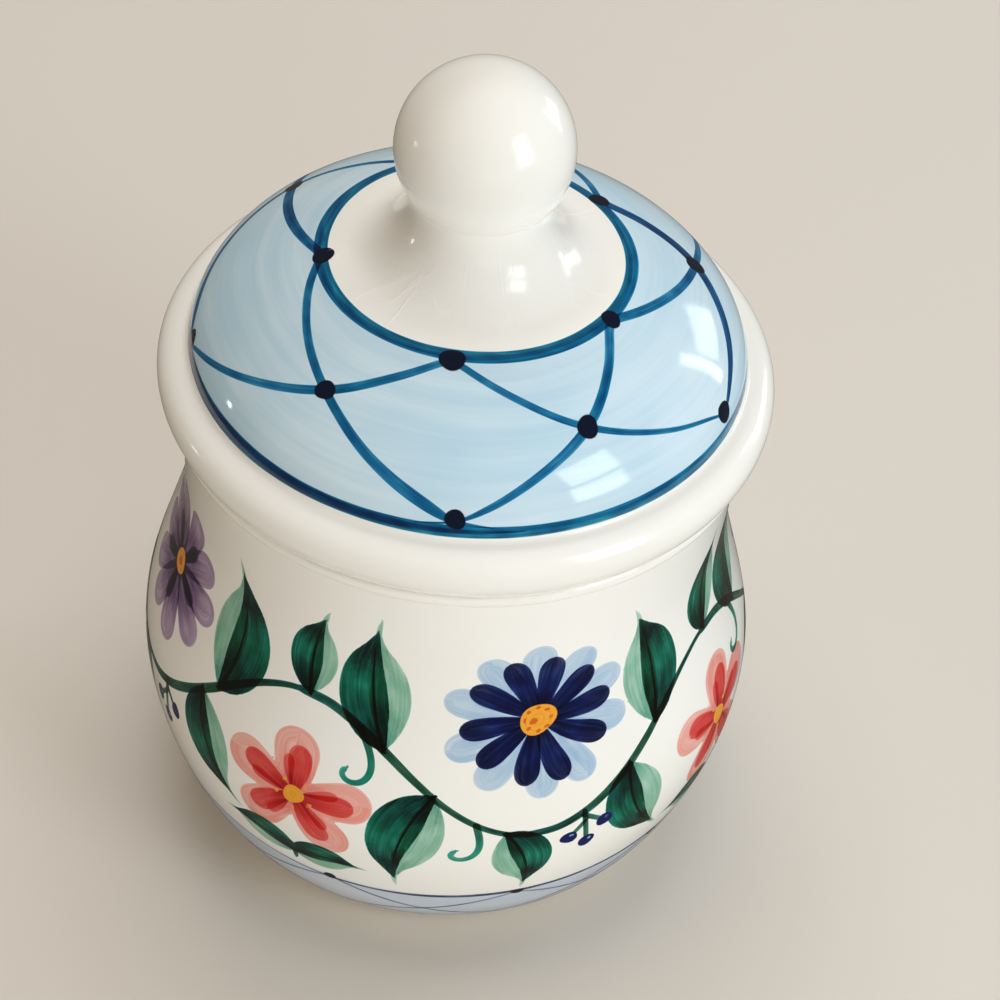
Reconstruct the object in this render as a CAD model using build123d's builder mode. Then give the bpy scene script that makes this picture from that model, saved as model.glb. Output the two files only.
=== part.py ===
from build123d import *
import os
from math import sqrt

# Kitchen canister: a glazed ceramic jar, its lift-off domed lid and the ball knob luted to the lid.
# Millimetres. The origin is the middle of the foot's resting face, +Z is the axis that the pieces
# were turned on and -Y is the front. The lid stands in its closed place.

# Jar
jar_height = 147.0        # table to the flat top of the rim
jar_wall = 6.0            # measured level, at the belly and at the neck
mouth_radius = 69.4       # clear mouth, kept straight down to the neck
belly_radius = 87.7
belly_height = 56.0       # table to the widest place
neck_drop = 29.0          # rim down to the narrowest place
foot_radius = 66.0        # outside of the foot ring
foot_ring_width = 6.0
foot_recess = 2.0         # the floor stands this far off the table inside the ring
floor_thickness = 5.5
floor_flat = 48.0         # radius of the level part of the floor inside
rim_roll_height = 6.6     # height of the rolled lip
rim_roll_bulge = 3.5      # how far the roll stands beyond the neck
rim_shoulder = 2.2        # how far the roll draws in again before the flat top
rim_ease = 1.6            # bevel of the mouth's inner edge
neck_rise_flare = 1.0     # how far the neck opens before the roll begins

# Lid
lid_clearance = 1.4       # between the locating flange and the mouth, all round
flange_depth = 8.0        # how far the flange hangs into the mouth
flange_thickness = 4.5
flange_ease = 1.2         # bevel of the flange's lower edges
brim_overhang = 3.4       # brim beyond the jar's roll
brim_waist = 8.5          # seat up to the brim's widest place
brim_crest = 15.3         # seat up to the top of the brim
brim_underside = 4.2      # how far the brim turns under to the seat
cove_width = 1.5          # sunk line between dome and brim
cove_depth = 1.4
brim_width = 8.3          # brim's widest place in to the foot of the dome
dome_rise = 47.0          # seat up to the dome at the knob
dome_wall = 6.5           # thickness under the knob's seat
dome_slope = 0.147        # fall of the dome where the knob's foot meets it
dome_reach = 16.3         # how far the crown stays flat before it turns down
dome_drop = 14.4          # length of the steep part above the brim

# Knob
ball_radius = 22.9
neck_radius = 18.3        # neck just under the ball
knob_rise = 33.9          # knob's seat up to the middle of the ball
knob_foot_radius = 33.0
knob_foot_edge = 1.2      # depth of the shallow seat in the lid's top
luting_gap = 0.1          # glaze-filled line round the knob's foot

# Fullness of the curves: the share of its span that each curve's handle takes
foot_splay = 0.55         # foot towards the belly, level
foot_lift = 0.11          # foot towards the belly, upright
belly_hang = 0.32         # how long the belly stays upright below its widest place
shoulder_ease = 0.36      # belly to neck, at both ends
neck_ease = 0.5           # neck, upright stretch above its narrowest place
roll_hollow = 0.35        # neck, turn into the underside of the roll
roll_middle = 0.48        # height of the roll's widest place, up from its lower edge
floor_corner = 0.66       # round corner between wall and floor inside
dome_lean = 0.07          # how far the steep part of the dome leans in
hollow_follow = 0.85      # how closely the hollow follows the dome's steep part
flare_run = 0.66          # knob's flare, along the crown
flare_rise = 0.36         # knob's flare, up the neck
flare_tuck = 0.03         # how far the neck draws in under the ball

# Places that follow from the sizes above
neck_height = jar_height - neck_drop
jar_neck_radius = mouth_radius + jar_wall
roll_start = (jar_neck_radius + neck_rise_flare, jar_height - rim_roll_height)
rim_radius = jar_neck_radius + rim_roll_bulge
inner_belly = belly_radius - jar_wall
floor_top = foot_recess + floor_thickness

seat = jar_height
flange_radius = mouth_radius - lid_clearance
flange_inner = flange_radius - flange_thickness
brim_radius = rim_radius + brim_overhang
dome_radius = brim_radius - brim_width
brim_top = seat + brim_crest
dome_edge = brim_top + cove_depth
dome_top = seat + dome_rise
knob_seat = dome_top - knob_foot_edge
hollow_top = knob_seat - dome_wall
ball_middle = knob_seat + knob_rise
ball_foot = ball_middle - sqrt(ball_radius**2 - neck_radius**2)


def blend(start, end, start_pull, end_pull):
    """One cubic curve from start to end; each pull is the offset of its handle from that end."""
    start, end = Vector(start), Vector(end)
    return Bezier(start, start + Vector(start_pull), end + Vector(end_pull), end)


# Jar: foot ring, belly, neck and rolled lip outside; straight mouth and round-cornered floor inside
with BuildPart() as jar_body:
    with BuildSketch(Plane.XZ):
        with BuildLine():
            foot_span = belly_radius - foot_radius
            shoulder_span = neck_height - belly_height
            underside = Polyline(
                (0, foot_recess),
                (foot_radius - foot_ring_width - foot_recess, foot_recess),
                (foot_radius - foot_ring_width, 0),
                (foot_radius, 0),
            )
            lower_belly = blend(
                underside @ 1,
                (belly_radius, belly_height),
                (foot_splay * foot_span, foot_lift * belly_height),
                (0, -belly_hang * belly_height),
            )
            upper_belly = blend(
                lower_belly @ 1,
                (jar_neck_radius, neck_height),
                (0, shoulder_ease * shoulder_span),
                (0, -shoulder_ease * shoulder_span),
            )
            neck_rise = roll_start[1] - neck_height
            neck = blend(
                upper_belly @ 1,
                roll_start,
                (0, neck_ease * neck_rise),
                (-neck_rise_flare, -roll_hollow * neck_rise),
            )
            roll = ThreePointArc(
                neck @ 1,
                (rim_radius, roll_start[1] + roll_middle * rim_roll_height),
                (rim_radius - rim_shoulder, jar_height),
            )
            rim_top = Line(roll @ 1, (mouth_radius + rim_ease, jar_height))
            mouth_edge = Line(rim_top @ 1, (mouth_radius, jar_height - rim_ease))
            mouth = Line(mouth_edge @ 1, (mouth_radius, neck_height))
            inner_shoulder = blend(
                mouth @ 1,
                (inner_belly, belly_height),
                (0, -shoulder_ease * shoulder_span),
                (0, shoulder_ease * shoulder_span),
            )
            inner_height = belly_height - floor_top
            inner_floor = blend(
                inner_shoulder @ 1,
                (floor_flat, floor_top),
                (0, -floor_corner * inner_height),
                (floor_corner * (inner_belly - floor_flat), 0),
            )
            Polyline(inner_floor @ 1, (0, floor_top), (0, foot_recess))
        make_face()
    revolve(axis=Axis.Z)

# Lid: dome with the knob's shallow seat, coved brim, flat seat on the rim and a locating flange
with BuildPart() as lid:
    with BuildSketch(Plane.XZ):
        with BuildLine():
            seat_radius = knob_foot_radius + luting_gap
            knob_pocket = Polyline((0, knob_seat), (seat_radius, knob_seat), (seat_radius, dome_top))
            dome = blend(
                knob_pocket @ 1,
                (dome_radius, dome_edge),
                (dome_reach, -dome_slope * dome_reach),
                (-dome_lean * dome_drop, dome_drop),
            )
            cove = Line(dome @ 1, (dome_radius + cove_width, brim_top))
            bead = TangentArc(cove @ 1, (brim_radius, seat + brim_waist), tangent=(1, 0))
            turn_under = TangentArc(bead @ 1, (brim_radius - brim_underside, seat), tangent=bead % 1)
            flange_foot = seat - flange_depth
            flange = Polyline(
                turn_under @ 1,
                (flange_radius, seat),
                (flange_radius, flange_foot + flange_ease),
                (flange_radius - flange_ease, flange_foot),
                (flange_inner + flange_ease, flange_foot),
                (flange_inner, flange_foot + flange_ease),
                (flange_inner, seat),
            )
            haunch = Line(flange @ 1, (dome_radius - dome_wall, dome_edge))
            hollow = blend(
                haunch @ 1,
                (knob_foot_radius - dome_wall, hollow_top),
                (-dome_lean * dome_drop, hollow_follow * dome_drop),
                (dome_reach, -dome_slope * dome_reach),
            )
            Polyline(hollow @ 1, (0, hollow_top), (0, knob_seat))
        make_face()
    revolve(axis=Axis.Z)

# Knob: ball, short neck and a flare that runs out level with the lid's crown
with BuildPart() as knob:
    with BuildSketch(Plane.XZ):
        with BuildLine():
            flare_drop = ball_foot - dome_top
            flare_width = knob_foot_radius - neck_radius
            Polyline(
                (0, ball_middle + ball_radius),
                (0, knob_seat),
                (knob_foot_radius, knob_seat),
                (knob_foot_radius, dome_top),
            )
            blend(
                (knob_foot_radius, dome_top),
                (neck_radius, ball_foot),
                (-flare_run * flare_width, flare_run * flare_width * dome_slope),
                (-flare_tuck * flare_drop, -flare_rise * flare_drop),
            )
            ThreePointArc(
                (neck_radius, ball_foot),
                (ball_radius, ball_middle),
                (0, ball_middle + ball_radius),
            )
        make_face()
    revolve(axis=Axis.Z)

os.makedirs("parts", exist_ok=True)

jar_body.part.label = "jar_body"
export_step(jar_body.part, "parts/jar_body.step")

lid.part.label = "lid"
export_step(lid.part, "parts/lid.step")

knob.part.label = "knob"
export_step(knob.part, "parts/knob.step")

for piece, name in ((jar_body, "jar body"), (lid, "lid"), (knob, "knob")):
    box = piece.part.bounding_box()
    span = f"z {box.min.Z:.1f} to {box.max.Z:.1f} mm, radius {box.max.X:.1f} mm"
    print(f"{name}: {piece.part.volume / 1000:.1f} cm3, {span}")
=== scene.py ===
import math

import bpy
import numpy as np
from mathutils import Matrix, Vector


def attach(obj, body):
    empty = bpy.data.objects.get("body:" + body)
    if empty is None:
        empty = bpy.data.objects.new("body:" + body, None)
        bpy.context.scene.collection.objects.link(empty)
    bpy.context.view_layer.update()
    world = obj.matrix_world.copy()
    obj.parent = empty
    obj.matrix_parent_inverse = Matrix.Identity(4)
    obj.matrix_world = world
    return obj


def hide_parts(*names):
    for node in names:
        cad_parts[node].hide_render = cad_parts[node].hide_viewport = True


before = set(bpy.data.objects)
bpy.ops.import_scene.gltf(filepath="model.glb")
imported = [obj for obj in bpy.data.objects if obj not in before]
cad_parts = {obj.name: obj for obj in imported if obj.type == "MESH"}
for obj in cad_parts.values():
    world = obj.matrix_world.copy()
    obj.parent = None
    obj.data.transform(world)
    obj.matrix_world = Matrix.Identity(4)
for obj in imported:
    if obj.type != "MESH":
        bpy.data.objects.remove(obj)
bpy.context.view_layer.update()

MM = 0.001
TURN = 2 * math.pi
UNPAINTED = -9.0  # half width and cover, in millimetres, of a place that no stroke reaches

# Jar sizes
jar_height = 147.0
jar_wall = 6.0
mouth_radius = 69.4
belly_radius = 87.7
belly_height = 56.0
neck_height = 118.0
neck_radius = 75.4
roll_foot = (76.6, 142.5)
roll_crown = (78.9, 144.75)
roll_top = (76.7, 147.0)
foot_radius = 66.0
foot_recess = 2.0
floor_flat = 48.0
floor_top = 7.5

# Lid and knob sizes
seat = 147.0
crown_radius = 33.05
crown_height = 194.0
knob_seat = 192.8
dome_edge = (74.0, 163.7)
brim_top = 162.3
brim_middle = (82.3, 155.5)
brim_foot = 78.1
flange_radius = 68.0
flange_inner = 63.5
flange_foot = 139.0
haunch = (67.5, 163.7)
hollow_crown = (26.5, 186.3)
ball_radius = 22.9
ball_middle = 226.7
ball_foot = (18.3, 212.93)

# How far the handles of the curves reach from their ends, outwards and upwards
foot_pull = (11.935, 6.16)
belly_pull = 17.92
shoulder_pull = 22.32
neck_pull = 11.2
roll_pull = (-1.0, -7.84)
wall_pull = 32.01
floor_pull = 22.242
crown_pull = (16.3, -2.396)
dome_pull = (-1.008, 14.4)
haunch_pull = (-1.008, 12.24)
flare_pull = (-9.7, 1.426)
knob_neck_pull = (-0.57, -6.81)


def srgb(red, green, blue):
    """A colour as it looks, 0 to 255 a channel, in the renderer's own scale."""
    scaled = np.array([red, green, blue]) / 255
    linear = np.where(scaled <= 0.04045, scaled / 12.92, ((scaled + 0.055) / 1.055) ** 2.4)
    return tuple(float(c) for c in linear)


ivory = srgb(239, 236, 229)
ivory_warm = srgb(233, 228, 216)
raw_clay = srgb(205, 186, 158)
line_blue = srgb(3, 88, 130)
line_pale = srgb(24, 108, 152)
wash_blue = srgb(174, 204, 219)
wash_pale = srgb(203, 221, 229)
dab_navy = srgb(7, 17, 38)
leaf_deep = srgb(2, 30, 30)
leaf_dark = srgb(2, 54, 49)
leaf_teal = srgb(9, 104, 84)
leaf_pale = srgb(102, 164, 138)
stem_green = srgb(22, 66, 48)
navy = srgb(13, 24, 78)
navy_deep = srgb(5, 8, 34)
petal_blue = srgb(142, 179, 222)
coral = srgb(220, 78, 82)
coral_pale = srgb(238, 148, 138)
coral_deep = srgb(180, 44, 54)
violet = srgb(92, 64, 116)
violet_pale = srgb(150, 126, 168)
violet_deep = srgb(54, 32, 72)
ochre = srgb(230, 156, 50)
orange = srgb(202, 96, 26)
foot_blue = srgb(58, 70, 98)
foot_wash = srgb(188, 197, 209)
foot_wash_pale = srgb(210, 214, 219)
pinhole_brown = srgb(96, 84, 70)
glaze_run = srgb(246, 244, 238)
floor_pale = srgb(218, 210, 199)
backdrop = srgb(221, 215, 206)


# Outlines: each is a list of (radius, height) points
def blend(start, end, start_pull, end_pull, count):
    """The same cubic curve as in the part's source, without its first point."""
    t = np.linspace(0, 1, count + 1)[1:, None]
    a, d = np.array(start, float), np.array(end, float)
    b, c = a + start_pull, d + end_pull
    rows = (1 - t) ** 3 * a + 3 * (1 - t) ** 2 * t * b + 3 * (1 - t) * t**2 * c + t**3 * d
    return [tuple(row) for row in rows]


def arc(start, middle, end, count):
    """A circular arc through three points, without its first point."""
    (ax, ay), (bx, by), (cx, cy) = start, middle, end
    twice = 2 * (ax * (by - cy) + bx * (cy - ay) + cx * (ay - by))
    a2, b2, c2 = ax**2 + ay**2, bx**2 + by**2, cx**2 + cy**2
    x = (a2 * (by - cy) + b2 * (cy - ay) + c2 * (ay - by)) / twice
    y = (a2 * (cx - bx) + b2 * (ax - cx) + c2 * (bx - ax)) / twice
    first = math.atan2(ay - y, ax - x)
    through = (math.atan2(by - y, bx - x) - first) % TURN
    sweep = (math.atan2(cy - y, cx - x) - first) % TURN
    if through > sweep:
        sweep -= TURN
    radius = math.hypot(ax - x, ay - y)
    turns = [first + sweep * t for t in np.linspace(0, 1, count + 1)[1:]]
    return [(x + radius * math.cos(turn), y + radius * math.sin(turn)) for turn in turns]


def straight(start, end, count):
    """Points on a straight line, without its first point."""
    steps = np.linspace(0, 1, count + 1)[1:]
    return [(start[0] + (end[0] - start[0]) * t, start[1] + (end[1] - start[1]) * t) for t in steps]


def jar_outline():
    """Out under the foot, up the outside and down the inside to the floor."""
    rows = [(20, foot_recess), (40, foot_recess), (55, foot_recess), (57.6, foot_recess)]
    # The foot ring's two edges are rounded
    rows += arc(rows[-1], (58.6, 1.6), (59.4, 0.6), 2)
    rows += arc(rows[-1], (60.0, 0.12), (60.7, 0.0), 2)
    rows += [(64.6, 0.0)]
    rows += arc(rows[-1], (66.1, 0.25), (67.3, 1.1), 3)
    painted_from = len(rows)
    body = blend((foot_radius, 0), (belly_radius, belly_height), foot_pull, (0, -belly_pull), 58)
    rows += [point for point in body if point[1] > 1.5]
    rows += blend(body[-1], (neck_radius, neck_height), (0, shoulder_pull), (0, -shoulder_pull), 58)
    rows += blend(rows[-1], roll_foot, (0, neck_pull), roll_pull, 17)
    painted_to = len(rows)
    rows += arc(roll_foot, roll_crown, roll_top, 9)
    rows += [(75.4, jar_height), (72.2, jar_height)]
    rows += arc((71.0, jar_height), (69.87, 146.53), (mouth_radius, 145.4), 4)
    rows += straight(rows[-1], (mouth_radius, neck_height), 4)
    inner_belly = (belly_radius - jar_wall, belly_height)
    rows += blend(rows[-1], inner_belly, (0, -shoulder_pull), (0, shoulder_pull), 10)
    rows += blend(inner_belly, (floor_flat, floor_top), (0, -wall_pull), (floor_pull, 0), 14)
    rows += [(34, floor_top), (18, floor_top)]
    return rows, painted_from, painted_to, foot_recess, floor_top


def lid_outline():
    """From the knob's seat over the dome and the brim, round the flange and up into the hollow."""
    rows = [(16, knob_seat), (crown_radius, knob_seat), (crown_radius, crown_height)]
    painted_from = len(rows) - 1
    rows += blend(rows[-1], dome_edge, crown_pull, dome_pull, 62)
    # The cove, then the brim's rounded top and its turned-under side
    rows += arc(rows[-1], (74.5, 162.75), (75.5, brim_top), 4)
    rows += arc(rows[-1], (80.31, 160.31), brim_middle, 12)
    rows += arc(brim_middle, (81.2, 150.75), (brim_foot, seat), 8)
    painted_to = len(rows)
    rows += [(77.4, seat), (69.2, seat)]
    rows += arc(rows[-1], (68.35, 146.65), (flange_radius, 145.8), 2)
    rows += straight(rows[-1], (flange_radius, flange_foot + 1.2), 2)
    rows += arc(rows[-1], (67.65, 139.35), (66.8, flange_foot), 3)
    rows += arc((64.7, flange_foot), (63.85, 139.35), (flange_inner, 140.2), 3)
    rows += straight(rows[-1], (flange_inner, seat), 2)
    rows += blend(rows[-1], haunch, (0, 6), (-2.0, -8.3), 4)
    rows += blend(haunch, hollow_crown, haunch_pull, crown_pull, 16)
    rows += [(18, hollow_crown[1]), (9, hollow_crown[1])]
    return rows, painted_from, painted_to, knob_seat, hollow_crown[1]


def knob_outline():
    """From the luted foot up the flare and round the ball; the ball ends in a pole."""
    rows = [(15, knob_seat), (crown_radius, knob_seat), (crown_radius, crown_height)]
    rows += blend(rows[-1], ball_foot, flare_pull, knob_neck_pull, 26)
    start = math.atan2(ball_foot[1] - ball_middle, ball_foot[0])
    for turn in np.linspace(start, math.pi / 2, 41)[1:-1]:
        rows.append((ball_radius * math.cos(turn), ball_middle + ball_radius * math.sin(turn)))
    return rows, 2, len(rows), knob_seat, ball_middle + ball_radius


def unevenness(angle, height):
    """How far a hand-finished wall stands off true, in millimetres."""
    slow = 0.16 * np.cos(2 * angle + 0.7) + 0.08 * np.cos(3 * angle - height * 0.03)
    return slow + 0.05 * np.sin(height * 0.21 + 2 * np.sin(angle))


class Turned:
    """A closed turned form: its mesh, and the paint that each of its points carries."""

    def __init__(self, name, outline, columns, sharp_rows, uneven, strips):
        rows, first, last, low_pole, high_pole = outline
        self.name, self.columns = name, columns
        line = np.array(rows)
        angle = np.arange(columns) / columns * TURN - math.pi
        radius, self.angle = np.meshgrid(line[:, 0], angle, indexing="ij")
        height = np.meshgrid(line[:, 1], angle, indexing="ij")[0]
        # The places near the axis stay true, so that the knob's foot fits its seat
        ease = np.clip((line[:, 0] - 36) / 20, 0, 1)[:, None]
        wide = radius + uneven * ease * unevenness(self.angle, height)
        points = np.stack([wide * np.cos(self.angle), wide * np.sin(self.angle), height], -1)
        poles = [(0, 0, low_pole), (0, 0, high_pole)]
        self.points = np.vstack([points.reshape(-1, 3), poles]) * MM

        # Distance run along the outline, from where the painted rows begin
        run = np.concatenate([[0], np.cumsum(np.hypot(*np.diff(line, axis=0).T))])
        self.radius = radius.ravel()
        self.angle = self.angle.ravel()
        self.run = np.repeat(run - run[first], columns)
        level = np.arange(len(rows))
        self.painted = np.repeat((level >= first) & (level < last), columns)
        self.coats = {}
        self.build(rows, first, last, sharp_rows, strips)

    def build(self, rows, first, last, sharp_rows, strips):
        """Quads between the rows and a fan at each pole, wound to face outwards."""
        count, columns = len(rows), self.columns
        here = np.arange(columns)
        beside = (here + 1) % columns
        row = np.arange(count - 1)[:, None] * columns
        above = row + columns
        quads = np.stack([row + here, row + beside, above + beside, above + here], -1).reshape(-1, 4)
        low, high = count * columns, count * columns + 1
        top = (count - 1) * columns
        under = np.stack([beside, here, np.full(columns, low)], -1)
        over = np.stack([top + here, top + beside, np.full(columns, high)], -1)
        self.mesh = bpy.data.meshes.new(self.name)
        self.mesh.from_pydata(self.points.tolist(), [], quads.tolist() + under.tolist() + over.tolist())
        self.mesh.polygons.foreach_set("use_smooth", np.ones(len(self.mesh.polygons), bool))

        ends = np.empty(len(self.mesh.edges) * 2, np.int32)
        self.mesh.edges.foreach_get("vertices", ends)
        ends = ends.reshape(-1, 2)
        level = ends // columns
        sharp = (level[:, 0] == level[:, 1]) & np.isin(level[:, 0], sharp_rows) & (ends.max(1) < low)
        creases = self.mesh.attributes.new("sharp_edge", "BOOLEAN", "EDGE")
        creases.data.foreach_set("value", sharp)
        self.lay_out(rows, first, last, strips, quads)

    def lay_out(self, rows, first, last, strips, quads):
        """A flat layout in stacked strips of the turned surface; its painted rows get most of the room."""
        line = np.array(rows)
        step = np.hypot(*np.diff(line, axis=0).T)
        painted = np.zeros(len(step), bool)
        painted[first : last - 1] = True
        pole_share, painted_share, hidden_share, margin = 0.02, 0.8, 0.16, 0.004
        room = 1 - 2 * margin
        painted_step = step * painted_share / step[painted].sum()
        hidden_step = step * hidden_share / step[~painted].sum()
        shares = np.where(painted, painted_step, hidden_step)
        rise = pole_share + np.concatenate([[0], np.cumsum(shares)])
        per_strip = self.columns // strips
        column = quads[:, 0] % self.columns
        level = quads[:, 0] // self.columns
        strip, across = column // per_strip, column % per_strip
        left = margin + room * across / per_strip
        right = margin + room * (across + 1) / per_strip
        low = (strip + rise[level]) / strips
        high = (strip + rise[level + 1]) / strips
        corners = np.stack([left, low, right, low, right, high, left, high], -1).reshape(-1, 2)
        fan = np.arange(self.columns)
        left = margin + room * (fan % per_strip) / per_strip
        right = left + room / per_strip
        base = (fan // per_strip) / strips
        floor = base + rise[0] / strips
        under = np.stack([right, floor, left, floor, (left + right) / 2, base + margin / strips], -1)
        roof = base + rise[-1] / strips
        over = np.stack([left, roof, right, roof, (left + right) / 2, base + (1 - margin) / strips], -1)
        corners = np.vstack([corners, under.reshape(-1, 2), over.reshape(-1, 2)])
        layout = self.mesh.uv_layers.new(name="OFBake")
        layout.data.foreach_set("uv", corners.astype(np.float32).ravel())

    # The brush. Places on the surface are (angle, run): radians round the axis and millimetres
    # along the outline.
    def coat(self, name):
        """The paint of one coat: its edge (side, half width, cover), its flow (length, seed, strength)
        and its tint."""
        if name not in self.coats:
            size = len(self.run)
            edge = np.tile([0.0, UNPAINTED, UNPAINTED], (size, 1))
            self.coats[name] = {"edge": edge, "flow": np.zeros((size, 3)), "tint": np.ones((size, 3))}
        return self.coats[name]

    def lay(self, coat, chosen, side, half, length, tint, seed, strength):
        """Keeps the new paint wherever it covers more than what is there."""
        store = self.coat(coat)
        cover = half - np.abs(side)
        better = cover > store["edge"][chosen, 2]
        where = chosen[better]
        store["edge"][where] = np.stack([side, half, cover], -1)[better]
        flow = np.stack(np.broadcast_arrays(length, seed, strength), -1)
        store["flow"][where] = flow[better]
        store["tint"][where] = np.broadcast_to(tint, (len(length), 3))[better]

    def near(self, places, margin):
        """The points of the mesh within margin millimetres of a box round these places."""
        middle = (places[:, 0].min() + places[:, 0].max()) / 2
        spread = (places[:, 0].max() - places[:, 0].min()) / 2
        away = np.abs((self.angle - middle + math.pi) % TURN - math.pi)
        round_it = away < spread + margin / np.maximum(self.radius, 20)
        along = (self.run > places[:, 1].min() - margin) & (self.run < places[:, 1].max() + margin)
        return np.flatnonzero(round_it & along & self.painted)

    def stroke(self, coat, places, tints, seed=0.0, strength=1.0, samples=26, fade=0.2):
        """One brush stroke through rows of (angle, run, half width); tints run from its root to its tip."""
        line = smooth(places, samples)
        chosen = self.near(line, line[:, 2].max() + 2.5)
        if not len(chosen):
            return
        round_it = (line[None, :, 0] - self.angle[chosen, None] + math.pi) % TURN - math.pi
        at = np.stack([round_it * self.radius[chosen, None], line[None, :, 1] - self.run[chosen, None]], -1)
        start, step = at[:, :-1], np.diff(at, axis=1)
        length = np.maximum((step**2).sum(-1), 1e-12)
        share = np.clip(-(start * step).sum(-1) / length, 0, 1)
        off = start + share[..., None] * step
        away = np.hypot(off[..., 0], off[..., 1])
        half = line[None, :-1, 2] * (1 - share) + line[None, 1:, 2] * share
        best = np.argmax(half - away, axis=1)
        pick = np.arange(len(chosen)), best
        cross = step[pick][:, 0] * off[pick][:, 1] - step[pick][:, 1] * off[pick][:, 0]
        side = np.where(cross > 0, -1, 1) * away[pick]
        whole = np.concatenate([[0], np.cumsum(np.sqrt(length.mean(0)))])
        along = whole[best] + share[pick] * np.sqrt(length[pick])
        part = along / max(whole[-1], 1e-6)
        stops = np.linspace(0, 1, len(tints))
        tint = np.stack([np.interp(part, stops, [t[c] for t in tints]) for c in range(3)], -1)
        self.lay(coat, chosen, side, half[pick], along, tint, seed, strength * (1 - fade * part**3))

    def spot(self, coat, place, size, tint, seed=0.0, strength=1.0, uneven=0.12):
        """A round dab of paint that a loaded brush leaves, a little out of round."""
        chosen = self.near(np.array([place]), size + 3)
        if not len(chosen):
            return
        across = ((self.angle[chosen] - place[0] + math.pi) % TURN - math.pi) * self.radius[chosen]
        up = self.run[chosen] - place[1]
        away, turn = np.hypot(across, up), np.arctan2(up, across)
        half = size * (1 + uneven * (0.6 * np.sin(2 * turn + seed) + 0.4 * np.sin(3 * turn + 2.3 * seed)))
        self.lay(coat, chosen, away, half, away, np.array(tint), seed, strength)

    def ring(self, coat, run, half, tint, wander=0.0, swell=0.0, seed=0.0, strength=1.0):
        """A line round the whole form; it wanders and swells as a hand-held brush does."""
        turn = self.angle
        offset = np.sin(turn + seed) + 0.6 * np.sin(2 * turn + 2 * seed) + 0.3 * np.sin(5 * turn + seed)
        thick = np.sin(2 * turn + 3 * seed) + 0.7 * np.sin(3 * turn - seed) + 0.4 * np.sin(7 * turn)
        side = self.run - run - wander * offset
        chosen = np.flatnonzero((np.abs(side) < half + 4) & self.painted)
        width = (half + swell * thick)[chosen]
        length = np.abs(turn[chosen]) * self.radius[chosen]
        self.lay(coat, chosen, side[chosen], width, length, np.array(tint), seed, strength)

    def finish(self, body, node, material):
        """Stores the paint on the mesh and hands the piece to its body."""
        size = len(self.mesh.vertices)

        def store(name, kind, values, field):
            held = np.zeros((size, values.shape[1]), np.float32)
            held[: len(values)] = values
            self.mesh.attributes.new(name, kind, "POINT").data.foreach_set(field, held.ravel())

        ends = [self.run[0] - 20, self.run[-1] + 20]
        store("reach", "FLOAT", np.append(self.run, ends)[:, None], "value")
        # What the two poles carry, which no stroke reaches
        blanks = {"edge": (0, UNPAINTED, UNPAINTED), "flow": (0, 0, 0), "tint": (1, 1, 1)}
        for coat, kept in self.coats.items():
            for part, blank in blanks.items():
                store(f"{coat}_{part}", "FLOAT_VECTOR", np.vstack([kept[part], blank, blank]), "vector")
        self.mesh.materials.append(material)
        piece = bpy.data.objects.new(self.name, self.mesh)
        bpy.context.scene.collection.objects.link(piece)
        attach(piece, body)
        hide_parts(node)
        return piece


def smooth(rows, samples):
    """Points on a smooth line through the rows, whatever number of columns they have."""
    rows = np.array(rows, float)
    if len(rows) == 2:
        t = np.linspace(0, 1, samples)[:, None]
        return rows[0] * (1 - t) + rows[1] * t
    padded = np.vstack([2 * rows[0] - rows[1], rows, 2 * rows[-1] - rows[-2]])
    place = np.linspace(0, len(rows) - 1, samples)
    k = np.minimum(place.astype(int), len(rows) - 2)
    t = (place - k)[:, None]
    a, b, c, d = padded[k], padded[k + 1], padded[k + 2], padded[k + 3]
    bent = 2 * b + (c - a) * t + (2 * a - 5 * b + 4 * c - d) * t**2 + (3 * b - a - 3 * c + d) * t**3
    return bent / 2


# Lid: two rings with a lattice of crossing arcs between them and a dab on each crossing.
# Places are (degrees round the axis, run); the dome runs from the knob's foot to the cove.
dome_run = 53.9
rim_line = dome_run - 1.8


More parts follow.
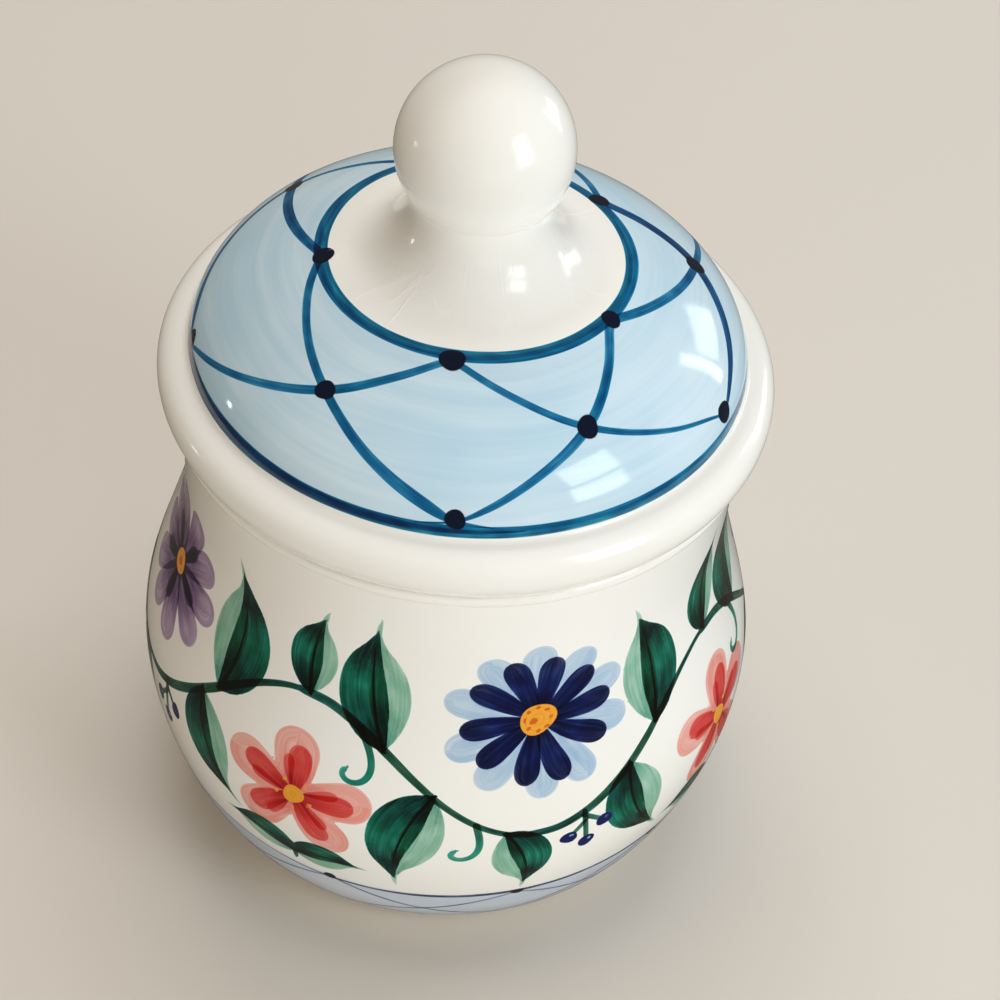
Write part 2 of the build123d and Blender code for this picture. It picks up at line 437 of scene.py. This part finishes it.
def paint_lid(lid):
    inner = [(-170.1, 6.6), (-93.9, 8.4), (-29.2, 8.0), (42.4, 8.7), (116.0, 8.2)]
    middle = [(-124.9, 27.3), (-57.6, 29.2), (15.4, 28.9), (80.0, 28.6), (146.9, 30.9)]
    outer = [(-167.5, 50.4), (-88.5, 48.9), (-21.2, 47.1), (46.0, 48.2), (118.0, 48.6)]
    # Each arc's half width at its inner, middle and outer dab, and how many degrees its tail runs on
    rightward = [
        (1.1, 1.1, 1.55, 7.5), (0.9, 0.9, 0.48, 1), (1.3, 1.15, 0.75, 6),
        (1.1, 1.2, 1, 7), (1.15, 1, 1.2, 7),
    ]
    leftward = [
        (1.25, 1.5, 1.2, 7), (1, 1.2, 0.72, 4), (1.25, 1.25, 0.85, 7.5),
        (1.8, 1.95, 0.9, 1), (1.1, 1.1, 1.1, 6),
    ]
    lid.ring("ring", 7.2, 1.7, line_blue, 0.16, 0.12, 0.6, 0.96)
    lid.ring("ring_over", 7.0, 0.55, line_blue, 0.3, 0.12, 3.6, 0.34)
    lid.ring("rim", rim_line, 1.75, line_blue, 0.1, 0.2, 2.1, 0.96)
    # Painted shade: one more stroke of the same blue darkens the rim line on its left side
    rim_shade_widths = [(-225, 0.3), (-205, 1.3), (-180, 1.75), (-150, 1.8), (-120, 1.5), (-95, 0.9), (-75, 0.2)]
    rows = [(math.radians(turn), rim_line, half) for turn, half in rim_shade_widths]
    lid.stroke("rim_painted_shade", rows, [line_blue, line_blue], 4.1, 0.62, 90, 0)
    tints = [line_blue, line_pale, line_blue, line_pale, line_blue]
    # How much paint the brush carried on each of the crossing arcs
    loads = 1.2, 1.0, 1.0, 1.3, 1.0
    for k in range(5):
        # Each arc leaves an inner dab nearly level with the ring and runs out to the next dab
        places = lattice_arc(inner[k], middle[k], outer[(k + 1) % 5], rightward[k])
        lid.stroke("sweep", places, tints, k, 1.0, 70, 0)
        places = lattice_arc(inner[k], middle[k - 1], outer[k - 1], leftward[k])
        lid.stroke("cross", places, tints[1:], k + 0.37, loads[k], 70, 0)
    for k, (turn, run) in enumerate(inner + middle + outer):
        size = 2.95 + 0.3 * math.sin(2.1 * k)
        lid.spot("dab", (math.radians(turn), run), size, dab_navy, 1.7 * k, 1.0, 0.1)


def lattice_arc(start, crossing, end, shape):
    """An arc from an inner dab through a crossing to an outer dab, taking the short way round."""
    a = start[0]
    b = a + (crossing[0] - a + 180) % 360 - 180
    c = b + (end[0] - b + 180) % 360 - 180
    way = 1 if c > a else -1
    inner_width, middle_width, outer_width, tail = shape
    rows = [
        (a, start[1] + 0.6, inner_width * 0.9),
        (a + 5.2 * way, start[1] + 2.2, inner_width),
        ((a + b) / 2 + 1.2 * way, (start[1] + crossing[1]) / 2 - 0.4, (inner_width + middle_width) / 2),
        (b, crossing[1], middle_width),
        ((b + c) / 2 - 0.4 * way, (crossing[1] + end[1]) / 2 + 0.3, (middle_width + outer_width) / 2),
        (c - 6.5 * way, end[1] - 3.2, outer_width),
        (c, end[1] + 0.5, outer_width * 0.45),
        (c + tail * way, end[1] + 0.4 + tail * 0.2, 0.12),
    ]
    return [(math.radians(turn), run, half) for turn, run, half in rows]


# Jar: a running vine with leaves and three kinds of blossom, and a lined band above the foot.
# Places are (across, up) in millimetres: across from the front, up along the outline from the foot.
girth_radius = 82.0       # where the millimetres across are true
waves = 4
vine_wave = TURN * girth_radius / waves
vine_middle, vine_swing, vine_shift = 82.5, 19.0, 30.0


def on_jar(across, up, half=None):
    """The place on the jar, with the half width of a stroke there if it has one."""
    turn = across / girth_radius - math.pi / 2
    return (turn, up) if half is None else (turn, up, half)


def vine_height(across):
    return vine_middle - vine_swing * math.cos(TURN * (across - vine_shift) / vine_wave)


def toward(place, heading, distance, aside=0.0):
    """The place that lies distance from this one along a heading in degrees, and aside to its left."""
    turn = math.radians(heading)
    x = place[0] + distance * math.cos(turn) - aside * math.sin(turn)
    y = place[1] + distance * math.sin(turn) + aside * math.cos(turn)
    return x, y


def petal(jar, coat, heart, heading, inner, outer, half, tints, seed, strength, tip=0.5, lean=0.0):
    """One pressed stroke outwards from the heart, from inner to outer: thin at its root, broad near its
    end. Tip is how blunt it ends, and lean the degrees that it turns on the way."""
    rows = [on_jar(*toward(heart, heading, inner), half * 0.35)]
    rows.append(on_jar(*toward(heart, heading + lean * 0.4, inner + (outer - inner) * 0.4), half * 0.82))
    rows.append(on_jar(*toward(heart, heading + lean * 0.8, inner + (outer - inner) * 0.78), half))
    rows.append(on_jar(*toward(heart, heading + lean, outer - half * tip), half * tip))
    jar.stroke(coat, rows, tints, seed, strength)


def leaf(jar, root, heading, length, width, bend, seed):
    """A leaf of two brush strokes: a thin pale one under a full dark one, with a fine midrib."""
    side = 1 if bend > 0 else -1
    shares = np.linspace(0, 1, 7)
    spine, place = [root], root
    for share in shares[1:]:
        place = toward(place, heading + bend * (share * 1.6 - 0.5), length / 6)
        spine.append(place)
    pale, dark = [], []
    for k, share in enumerate(shares):
        course = heading + bend * (share * 1.6 - 0.5)
        swell = math.sin(math.pi * min(share * 1.12, 1)) ** 0.8
        x, y = toward(spine[k], course, 0, side * width * 0.25 * swell)
        pale.append(on_jar(x, y, width * (0.04, 0.2, 0.29, 0.29, 0.22, 0.11, 0.01)[k]))
        x, y = toward(spine[k], course, 0, -side * width * 0.16 * swell)
        dark.append(on_jar(x, y, width * (0.05, 0.24, 0.35, 0.34, 0.25, 0.12, 0.01)[k]))
    jar.stroke("pale", pale, [leaf_teal, leaf_pale, leaf_pale, leaf_teal], seed, 0.7)
    jar.stroke("full", dark, [leaf_deep, leaf_dark, leaf_teal, leaf_deep, leaf_dark], seed + 0.4, 1.12)
    # A wisp that the lifted brush trails beyond the tip
    end = toward(spine[6], heading + bend * 1.2, length * 0.13)
    wisp = [on_jar(*spine[4], 0.9), on_jar(*spine[6], 0.75), on_jar(*end, 0.1)]
    jar.stroke("pale", wisp, [leaf_teal, leaf_pale], seed + 0.8, 0.6)
    rib = [on_jar(*spine[k], (0.5, 0.45, 0.4, 0.34, 0.26, 0.15)[k]) for k in range(6)]
    jar.stroke("line", rib, [leaf_deep, leaf_deep], seed, 0.85)


def tendril(jar, root, heading, size, seed):
    """A curl that leaves the vine and winds in on itself."""
    rows = [on_jar(*root, 1.1)]
    place = root
    for k in range(14):
        place = toward(place, heading, size * (1 - k / 22))
        heading -= 1 + 2.9 * k
        rows.append(on_jar(*place, 1.05 - 0.02 * k))
    jar.stroke("line", rows, [stem_green, leaf_teal, leaf_teal], seed, 0.9, 80)


def aster(jar, heart, size, seed, shade):
    """Narrow dark petals over pale ones, round an ochre heart."""
    pale, full, deep = shade
    for k in range(10):
        course = 36 * k + 5 * math.sin(seed + 3 * k)
        long = size * (1 + 0.05 * math.sin(5 * k + seed))
        tints = [pale, pale]
        petal(jar, "pale", heart, course + 18, size * 0.15, long, size * 0.185, tints, seed + k, 0.74, 0.6)
        coat = "bloom" if k % 2 else "petal"
        tints = [deep, full, deep]
        start, end, half = size * 0.12, long * 0.83, size * 0.135
        petal(jar, coat, heart, course, start, end, half, tints, seed + k + 0.5, 0.97, 0.35, 5)
    jar.spot("heart", on_jar(*heart), size * 0.19, ochre, seed)
    for k in range(8):
        jar.spot("grain", on_jar(*toward(heart, 45 * k, size * 0.145)), 0.75, orange, seed + k)
    jar.spot("grain", on_jar(*toward(heart, 200, size * 0.05)), 1.1, orange, seed)


def rosette(jar, heart, size, seed, shade):
    """Five broad petals in two strokes each, round an ochre heart."""
    pale, full, deep = shade
    for k in range(5):
        course = 72 * k + 18 + 5 * math.sin(seed + 2 * k)
        tints = [full, pale, pale]
        petal(jar, "pale", heart, course, size * 0.1, size, size * 0.37, tints, seed + k, 0.9, 0.75)
        tints = [deep, full, full]
        coat = "bloom" if k % 2 else "petal"
        start, end, half = size * 0.1, size * 0.86, size * 0.19
        petal(jar, coat, heart, course - 11, start, end, half, tints, seed + k + 0.5, 0.86, 0.4, 6)
        start, end, half = size * 0.2, size * 0.7, size * 0.09
        petal(jar, "full", heart, course + 14, start, end, half, tints, seed + k, 0.7, 0.3, -6)
    jar.spot("heart", on_jar(*heart), size * 0.17, ochre, seed + 1)
    for k in range(5):
        jar.spot("grain", on_jar(*toward(heart, 72 * k + 54, size * 0.27)), 0.8, ochre, seed + k)


def heart_petals(jar, heart, size, seed, shade):
    """Five notched petals, each of two strokes that lie side by side, with a dark throat."""
    pale, full, deep = shade
    for k in range(5):
        course = 72 * k - 18 + 4 * math.sin(seed + 2 * k)
        tints = [full, full, pale]
        start, half = size * 0.1, size * 0.22
        petal(jar, "pale", heart, course + 15, start, size, half, tints, seed + k, 0.92, 0.85, 3)
        petal(jar, "full", heart, course - 15, start, size * 0.97, half, tints, seed + k + 0.5, 0.9, 0.85, -3)
        coat = "bloom" if k % 2 else "petal"
        tints = [deep, deep, full]
        petal(jar, coat, heart, course, size * 0.08, size * 0.62, size * 0.09, tints, seed + k, 0.9, 0.2)
    jar.spot("heart", on_jar(*heart), size * 0.15, ochre, seed + 1)
    jar.spot("grain", on_jar(*heart), size * 0.06, orange, seed + 1)


def berries(jar, root, heading, size, seed):
    """Three berries on a forked stalk."""
    stalks = ("line", 0, 0, 1.0), ("full", 46, 0.12, 0.58), ("petal", -46, 0.3, 0.52)
    for k, (coat, turn, start, reach) in enumerate(stalks):
        fork = toward(root, heading, size * start)
        tip = toward(fork, heading + turn, size * reach)
        rows = [on_jar(*fork, 0.85), on_jar(*tip, 0.75)]
        jar.stroke(coat, rows, [leaf_dark, stem_green], seed + k, 0.8)
        jar.spot("heart", on_jar(*tip), 2.5, navy, seed + k)
        jar.spot("grain", on_jar(tip[0] + 0.7, tip[1] + 0.8), 0.7, petal_blue, seed + k, 0.8)


def sprig(jar, root, seed):
    """Two small leaves on a short stalk."""
    leaf(jar, root, 158, 21, 12.5, 26, seed)
    leaf(jar, root, 22, 19, 12, -26, seed + 2)
    stalk = toward(root, -90, 3.5)
    jar.stroke("stem", [on_jar(*root, 0.9), on_jar(*stalk, 0.7)], [leaf_dark, stem_green], seed, 0.9)


def paint_jar(jar):
    blues = petal_blue, navy, navy_deep
    corals = coral_pale, coral, coral_deep
    violets = violet_pale, violet, violet_deep
    # Vine, all the way round in overlapping strokes of half a wave
    for k in range(2 * waves):
        start = vine_shift + vine_wave / 2 * (k - 0.04)
        rows = []
        for share in np.linspace(0, 1.08, 9):
            across = start + vine_wave / 2 * share
            rows.append(on_jar(across, vine_height(across), 1.2 + 0.3 * math.sin(5 * share + k)))
        jar.stroke("stem", rows, [leaf_dark, stem_green, leaf_dark], k, 0.95, 60, 0)
    # Leaves of one wave: across from its lowest place, heading, length, width, bend
    leaves = [
        (-42, 105, 40, 19, -20), (-27, -112, 37, 19, 26), (-9, -70, 28, 16, -24), (28, -78, 33, 17, 26),
        (36, 84, 41, 20, 22), (63, 90, 28, 14, -20),
    ]
    for turn in range(waves):
        middle = vine_shift + vine_wave * turn
        for k, (across, heading, length, width, bend) in enumerate(leaves):
            vary = math.sin(3.7 * k + 5.1 * turn)
            x = middle + across + 1.2 * vary
            size = 1 + 0.06 * math.sin(2.9 * k + 1.3 * turn)
            root, seed = (x, vine_height(x)), k + 11.0 * turn
            leaf(jar, root, heading + 5 * vary, length * size, width * size, bend, seed)
        for across, heading, size in ((-16, -78, 2.2), (80, -62, 2.7)):
            place = middle + across, vine_height(middle + across)
            tendril(jar, place, heading, size, turn + 0.5)
        berries(jar, (middle + 13, vine_height(middle + 13)), -84, 13, turn)
        sprig(jar, (middle + vine_wave / 2, 40), turn)
    half = vine_wave / 2
    aster(jar, (vine_shift, 102), 26, 0.4, blues)
    heart_petals(jar, (vine_shift + 2 * half, 101), 24, 1.4, violets)
    rosette(jar, (vine_shift + 4 * half, 102), 24.5, 2.9, corals)
    heart_petals(jar, (vine_shift + 6 * half, 101), 24, 3.3, violets)
    rosette(jar, (vine_shift - half, 67), 19, 5.2, corals)
    rosette(jar, (vine_shift + half, 67), 18.5, 2.2, corals)
    aster(jar, (vine_shift + 3 * half, 66.5), 19, 7.7, blues)
    aster(jar, (vine_shift + 5 * half, 66.5), 19, 4.2, blues)

    # Foot band: a thin line, and arcs that cross below it with a dab on each crossing
    jar.ring("line", 32.5, 0.6, foot_blue, 0.7, 0.2, 1.2, 0.85)
    bays = 10
    step = TURN / bays
    for k in range(bays):
        turn = step * k + math.radians(3 * math.sin(4 * k))
        for coat, way in (("full", 1), ("petal", -1)):
            rows = [(turn, 31.8, 0.5), (turn + way * step * 0.5, 20.5, 0.6), (turn + way * step, 11.0, 0.3)]
            jar.stroke(coat, rows, [foot_blue, foot_blue], k + way, 0.5, 40, 0)
        jar.spot("grain", (turn, 32.0), 1.9, dab_navy, k)


# Materials. An expression on sockets adds the nodes that work it out.
class Socket:
    def __init__(self, bench, out):
        self.bench, self.out = bench, out
        self.wide = out.type in ("RGBA", "VECTOR")

    def work(self, operation, other, turned=False):
        pair = [other, self] if turned else [self, other]
        if any(isinstance(side, Socket) and side.wide for side in pair):
            pair = [side if isinstance(side, Socket) else (side,) * 3 for side in pair]
            return self.bench.node("VectorMath", {"operation": operation}, dict(enumerate(pair)))
        return self.bench.node("Math", {"operation": operation}, dict(enumerate(pair)))

    def __add__(self, other):
        return self.work("ADD", other)

    def __radd__(self, other):
        return self.work("ADD", other, True)

    def __sub__(self, other):
        return self.work("SUBTRACT", other)

    def __rsub__(self, other):
        return self.work("SUBTRACT", other, True)

    def __pow__(self, other):
        return self.work("POWER", other)

    def __mul__(self, other):
        return self.work("MULTIPLY", other)

    def __rmul__(self, other):
        return self.work("MULTIPLY", other, True)

    def __abs__(self):
        return self.bench.node("Math", {"operation": "ABSOLUTE"}, {0: self})


class Bench:
    """The node tree of one material, and the ways to add to it."""

    def __init__(self, name):
        self.material = bpy.data.materials.new(name)
        self.material.use_nodes = True
        self.tree = self.material.node_tree
        self.shader = self.tree.nodes["Principled BSDF"]

    def fill(self, node, inputs):
        for place, value in inputs.items():
            target = node.inputs[place]
            if isinstance(value, Socket):
                self.tree.links.new(value.out, target)
            elif target.type == "RGBA":
                target.default_value = (*value, 1)
            else:
                target.default_value = value

    def node(self, kind, settings, inputs, out=0):
        """Adds a node of a kind; its settings come first, then the values and links of its sockets."""
        made = self.tree.nodes.new("ShaderNode" + kind)
        for name, value in settings.items():
            setattr(made, name, value)
        self.fill(made, inputs)
        return Socket(self, made.outputs[out])

    def number(self, name):
        """A number that each point of the mesh carries."""
        return self.node("Attribute", {"attribute_name": name}, {}, "Fac")

    def vector(self, name):
        """A vector that each point of the mesh carries."""
        return self.node("Attribute", {"attribute_name": name}, {}, "Vector")

    def parts(self, vector):
        split = self.node("SeparateXYZ", {}, {0: vector}).out.node
        return [Socket(self, out) for out in split.outputs]

    def join(self, x, y, z):
        return self.node("CombineXYZ", {}, {0: x, 1: y, 2: z})

    def ramp(self, value, low, high, start=0.0, end=1.0):
        """Smooth step of a value from low to high."""
        settings = {"interpolation_type": "SMOOTHSTEP"}
        return self.node("MapRange", settings, {0: value, 1: low, 2: high, 3: start, 4: end})

    def least(self, one, other):
        return self.node("Math", {"operation": "MINIMUM"}, {0: one, 1: other})

    def mix(self, share, under, over):
        return self.node("Mix", {"data_type": "RGBA"}, {0: share, 6: under, 7: over}, 2)

    def noise(self, vector, scale, detail=2.0, roughness=0.5):
        inputs = {"Vector": vector, "Scale": scale, "Detail": detail, "Roughness": roughness}
        return self.node("TexNoise", {}, inputs)


def brushed(bench, under, coat, opaque):
    """Lays one coat of brushed paint over the colour under it; returns the colour and where the coat is.
    Opaque paint hides what is under it. The rest stains it, and more so where the brush left more."""
    side, half, cover = bench.parts(bench.vector(coat + "_edge"))
    length, seed, strength = bench.parts(bench.vector(coat + "_flow"))
    tint = bench.vector(coat + "_tint")
    bristle = bench.noise(bench.join(length * 0.045, side * 1.5, seed * 7.3), 1.0, 2.5, 0.6) - 0.5
    pool = bench.noise(bench.join(length * 0.13, side * 0.3, seed * 3.1), 1.0, 1.0) - 0.5
    # Between two points of the mesh a thin line is found by its side, a broad one by its cover
    rim = bench.least(half - abs(side), cover + bench.ramp(half, 1.3, 0.8) * 0.6) + bristle * 0.2
    there = bench.ramp(rim, -0.13, 0.13)
    if opaque:
        return bench.mix(there * strength, under, tint * (1 + bristle * 0.5)), there
    load = strength * (0.9 + bristle * 0.9 + pool * 0.9) - bench.ramp(rim, 0.8, 0.1) * 0.1
    return under * tint ** (there * load), there


def wash(bench, under, reach, low, high, soft, pale, full):
    """A thin wash of blue, brushed round the form, that shows its bands and the glaze under it."""
    place = bench.node("TexCoord", {}, {}, "Object")
    x, y, z = bench.parts(place)
    drift = bench.noise(place, 16.0, 1.0) * 1.3
    broad = bench.noise(bench.join(x * 8, y * 8, reach * 0.15 + drift), 1.0, 2.5, 0.55)
    fine = bench.noise(bench.join(x * 26, y * 26, reach * 0.9 + drift), 1.0, 2.0)
    cloud = bench.noise(place, 24.0, 2.0)
    there = bench.ramp(reach, low - soft, low + soft) * bench.ramp(reach, high + soft, high - soft)
    depth = bench.ramp(broad * 0.45 + fine * 0.15 + cloud * 0.4, 0.34, 0.66)
    return bench.mix(there * 0.97, under, bench.mix(depth, pale, full)), there


def glazed(name, coats, washes, gloss, bare, on_lid):
    """Warm white clay under a clear glossy glaze, with paint between the two.
    Each wash is (low, high, soft edge, pale colour, full colour, how much glossier it is). Gloss is the
    least roughness, and below the height bare the clay is left unglazed."""
    bench = Bench(name)
    place = bench.node("TexCoord", {}, {}, "Object")
    x, y, z = bench.parts(place)
    reach = bench.number("reach")
    cloud = bench.noise(place, 14.0, 3.0)
    colour = bench.mix(bench.ramp(cloud, 0.3, 0.75, 0, 0.45), ivory, ivory_warm)
    throwing = bench.noise(bench.join(x * 4, y * 4, reach * 0.45), 1.0, 1.0)
    relief = bench.noise(place, 55.0, 2.0, 0.45) * 0.16 + throwing * 0.05
    sheen = gloss + 0.05 * bench.ramp(cloud, 0.35, 0.7)
    for low, high, soft, pale, full, polish in washes:
        colour, there = wash(bench, colour, reach, low, high, soft, pale, full)
        sheen = sheen - there * polish
    for coat in coats:
        opaque = coat in ("dab", "heart", "grain")
        colour, there = brushed(bench, colour, coat, opaque)
        relief = relief + there * (0.14 if opaque else 0.03)

    # Pinholes: a few dark specks where the glaze has pulled back
    speck = bench.node("TexVoronoi", {}, {"Vector": place, "Scale": 46.0})
    dark = bench.ramp(speck, 0.035, 0.02) * bench.ramp(bench.noise(place, 31.0, 0.0), 0.66, 0.7)
    colour = bench.mix(dark * 0.7, colour, pinhole_brown)

    if on_lid:
        # Thin runs of glaze down the knob's flare, pale and a little proud
        turn = bench.node("Math", {"operation": "ARCTAN2"}, {0: y, 1: x})
        out = bench.node("VectorMath", {"operation": "LENGTH"}, {0: bench.join(x, y, 0.0)}, "Value")
        warp = bench.noise(place, 48.0, 2.0) - 0.5
        net = bench.join(turn * 3.6 + warp * 1.1, out * 22 + warp * 1.4, z * 5)
        vein = bench.node("TexVoronoi", {"feature": "DISTANCE_TO_EDGE"}, {"Vector": net, "Scale": 1.0})
        run = bench.ramp(vein, 0.026, 0.006) * bench.ramp(bench.noise(place, 70.0, 1.0), 0.42, 0.6)
        run = run * bench.ramp(out, 0.0385, 0.036) * bench.ramp(z, 0.212, 0.204)
        colour = bench.mix(run * 0.35, colour, glaze_run)
        relief = relief + run * 0.16
    rough_clay = bench.ramp(z, bare + 0.0003, bare - 0.0002)
    if on_lid:
        # The hollow of the lid is glazed, so only its seat and flange are bare
        rough_clay = rough_clay * bench.ramp(reach, 60.0, 66.0)
    colour = bench.mix(rough_clay, colour, raw_clay)
    relief = relief + rough_clay * bench.noise(place, 900.0, 2.0) * 0.5
    bump = bench.node("Bump", {}, {"Strength": 0.4, "Distance": 0.0006, "Height": relief})
    roughness = sheen + rough_clay * 0.7
    bench.fill(bench.shader, {"Base Color": colour, "Roughness": roughness, "IOR": 1.5, "Normal": bump})
    return bench.material


def make_pieces():
    jar = Turned("jar_pot", jar_outline(), 512, [], 1.0, 2)
    paint_jar(jar)
    washes = [(11.0, 32.3, 2.0, foot_wash_pale, foot_wash, 0.0)]
    coats = ["pale", "full", "stem", "line", "petal", "bloom", "heart", "grain"]
    glaze = glazed("glazed_garland", coats, washes, 0.08, 0.0005, False)
    jar.finish("jar", "jar_body", glaze)

    # The last painted row is the brim's lower edge
    outline = lid_outline()
    brim_edge = outline[2] - 1
    lid = Turned("lid_dome", outline, 480, [1, 2, brim_edge], 0.5, 3)
    paint_lid(lid)
    washes = [(7.4, rim_line, 0.5, wash_pale, wash_blue, 0.07)]
    # The rim's last coat is painted shade along its left side
    coats = ["sweep", "cross", "ring", "ring_over", "rim", "rim_painted_shade", "dab"]
    glaze = glazed("glazed_lattice", coats, washes, 0.13, 0.1471, True)
    lid.finish("lid_with_knob", "lid", glaze)

    knob = Turned("knob_ball", knob_outline(), 200, [1, 2], 0.0, 2)
    glaze = glazed("glazed_ivory", [], [], 0.12, 0.0, True)
    knob.finish("lid_with_knob", "knob", glaze)


# Stage, lamps and camera
def make_stage():
    half = 2.4
    corners = [(-half, -half, 0), (half, -half, 0), (half, half, 0), (-half, half, 0)]
    mesh = bpy.data.meshes.new("floor")
    mesh.from_pydata(corners, [], [(0, 1, 2, 3)])
    floor = bpy.data.objects.new("floor", mesh)
    bpy.context.scene.collection.objects.link(floor)
    bench = Bench("pale_floor")
    bench.fill(bench.shader, {"Base Color": floor_pale, "Roughness": 0.6})
    # Away from the jar the camera sees the floor run out into the backdrop
    place = bench.node("TexCoord", {}, {}, "Object")
    away = bench.node("VectorMath", {"operation": "LENGTH"}, {0: place}, "Value")
    seen = bench.node("LightPath", {}, {}, "Is Camera Ray")
    plain = bench.node("Emission", {}, {"Color": backdrop})
    lit = Socket(bench, bench.shader.outputs[0])
    surface = bench.node("MixShader", {}, {0: seen * bench.ramp(away, 0.4, 1.0), 1: lit, 2: plain})
    bench.fill(bench.tree.nodes["Material Output"], {"Surface": surface})
    mesh.materials.append(bench.material)
    # The glaze mirrors the dim room in its place, so that dark paint stays dark
    floor.visible_glossy = False

    world = bpy.data.worlds.new("room")
    bpy.context.scene.world = world
    world.use_nodes = True
    tree = world.node_tree
    sky = tree.nodes["Background"]
    sky.inputs["Color"].default_value = (1.0, 0.88, 0.7, 1)
    sky.inputs["Strength"].default_value = 0.13

    # Beyond the floor the camera sees a plain pale backdrop
    beyond = tree.nodes.new("ShaderNodeBackground")
    beyond.inputs["Color"].default_value = (*backdrop, 1)
    path = tree.nodes.new("ShaderNodeLightPath")
    choice = tree.nodes.new("ShaderNodeMixShader")
    tree.links.new(path.outputs["Is Camera Ray"], choice.inputs[0])
    tree.links.new(sky.outputs[0], choice.inputs[1])
    tree.links.new(beyond.outputs[0], choice.inputs[2])
    tree.links.new(choice.outputs[0], tree.nodes["World Output"].inputs["Surface"])


def lamp(name, azimuth, elevation, distance, size, power, colour, aim, mirrored=True):
    """A soft rectangular lamp at that bearing from its aim, turned towards it."""
    turn, rise = math.radians(azimuth), math.radians(elevation)
    away = Vector((math.cos(turn) * math.cos(rise), math.sin(turn) * math.cos(rise), math.sin(rise)))
    light = bpy.data.lights.new(name, "AREA")
    light.shape = "RECTANGLE"
    light.size, light.size_y = size
    light.energy = power
    light.color = colour
    holder = bpy.data.objects.new(name, light)
    holder.location = Vector(aim) + away * distance
    holder.rotation_euler = away.to_track_quat("Z", "Y").to_euler()
    holder.visible_glossy = mirrored
    bpy.context.scene.collection.objects.link(holder)


def make_lamps():
    day = (0.88, 0.95, 1.0)
    front, back, middle = (0.034, -0.06, 0.17), (0.06, -0.01, 0.18), (0, 0, 0.12)
    lamp("window_front_low", -34, 17, 1.3, (0.50, 0.36), 3.2, day, front)
    lamp("window_front_high", -33, 35, 1.3, (0.46, 0.34), 2.8, day, front)
    lamp("window_back", 42.5, 13, 1.3, (0.34, 0.32), 1.5, day, back)
    lamp("window_side", 31, 15, 1.3, (0.09, 0.62), 1.2, day, back)
    lamp("lamp_left", 176, -3, 1.3, (0.05, 0.09), 0.3, day, (-0.058, -0.042, 0.171))
    lamp("overhead", 90, 76, 1.6, (1.3, 1.3), 18.8, (0.985, 0.99, 1.0), middle, False)
    lamp("fill_front", -72, 4, 1.8, (1.3, 0.4), 17.6, (0.94, 0.975, 1.0), middle, False)
    lamp("fill_right", 8, 5, 1.8, (1.2, 0.8), 2.6, (0.3, 0.66, 1.0), middle, False)
    lamp("fill_back", 100, 20, 1.8, (1.2, 1.0), 4.4, (1.0, 1.0, 1.0), middle, False)
    lamp("fill_left", 190, 30, 1.8, (1.2, 1.0), 3.2, (1.0, 0.72, 0.42), middle, False)


def make_camera():
    """Looks down on the jar as the photographer did, a little rolled."""
    # The picture is 1000 pixels wide, and shows the aim, a point on the jar's axis, at (seen_x, seen_y)
    picture, focal, distance = 1000, 2600.0, 0.6891
    seen_x, seen_y = 469.5, 337.5
    aim = Vector((0, 0, 0.16384))
    rise, roll = math.radians(44.81), math.radians(5.71)
    ahead = Vector((0, math.cos(rise), -math.sin(rise)))
    level = Vector((1, 0, 0))
    over = level.cross(ahead)
    right = level * math.cos(roll) + over * math.sin(roll)
    up = over * math.cos(roll) - level * math.sin(roll)
    across, above = (seen_x - picture / 2) / focal, (picture / 2 - seen_y) / focal
    place = aim - (right * across + up * above + ahead) * distance
    camera = bpy.data.cameras.new("camera")
    camera.sensor_width = 36.0
    camera.lens = focal * camera.sensor_width / picture
    camera.clip_start = 0.01
    holder = bpy.data.objects.new("camera", camera)
    holder.matrix_world = Matrix.Translation(place) @ Matrix((right, up, -ahead)).transposed().to_4x4()
    bpy.context.scene.collection.objects.link(holder)
    bpy.context.scene.camera = holder


make_camera()
make_lamps()
make_stage()
make_pieces()
bpy.context.scene.view_settings.view_transform = "Standard"
